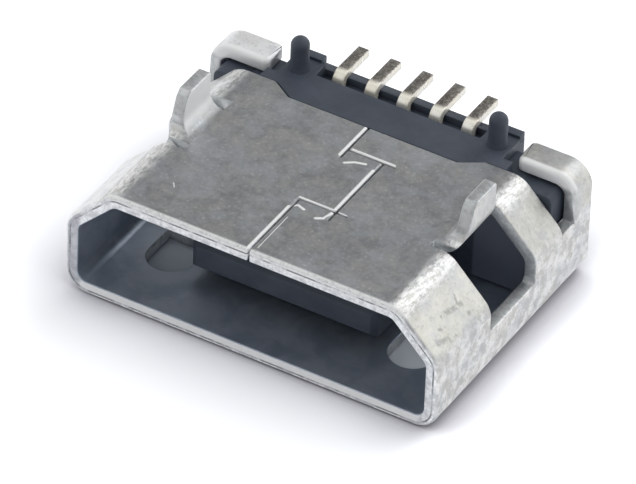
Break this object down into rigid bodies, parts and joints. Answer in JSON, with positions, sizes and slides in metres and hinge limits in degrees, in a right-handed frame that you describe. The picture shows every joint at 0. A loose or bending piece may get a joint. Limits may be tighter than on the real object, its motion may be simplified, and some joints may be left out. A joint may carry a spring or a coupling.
{
  "type": "micro connector socket",
  "caption": "Micro connector socket for a circuit board: folded sheet shell with latch holes, legs and feet, a moulded housing with a tongue, and bent contacts with solder tails.",
  "frame": {"origin": "on the wide face's outer plane, below the middle of the object's box", "axes": "+X to the right across the mouth, seen from in front with the board face up; +Y in from the mouth to the solder tails; +Z from the wide face up to the board face"},
  "size_m": [0.0074, 0.006, 0.003],
  "materials": {
    "shell": "satin, plated sheet",
    "housing": "matte moulding",
    "contacts": "pale gold plating"
  },
  "bodies": {
    "root": {"shell": "shell", "housing": "housing", "contact_1": "contacts", "contact_2": "contacts", "contact_3": "contacts", "contact_4": "contacts", "contact_5": "contacts"}
  },
  "joints": []
}
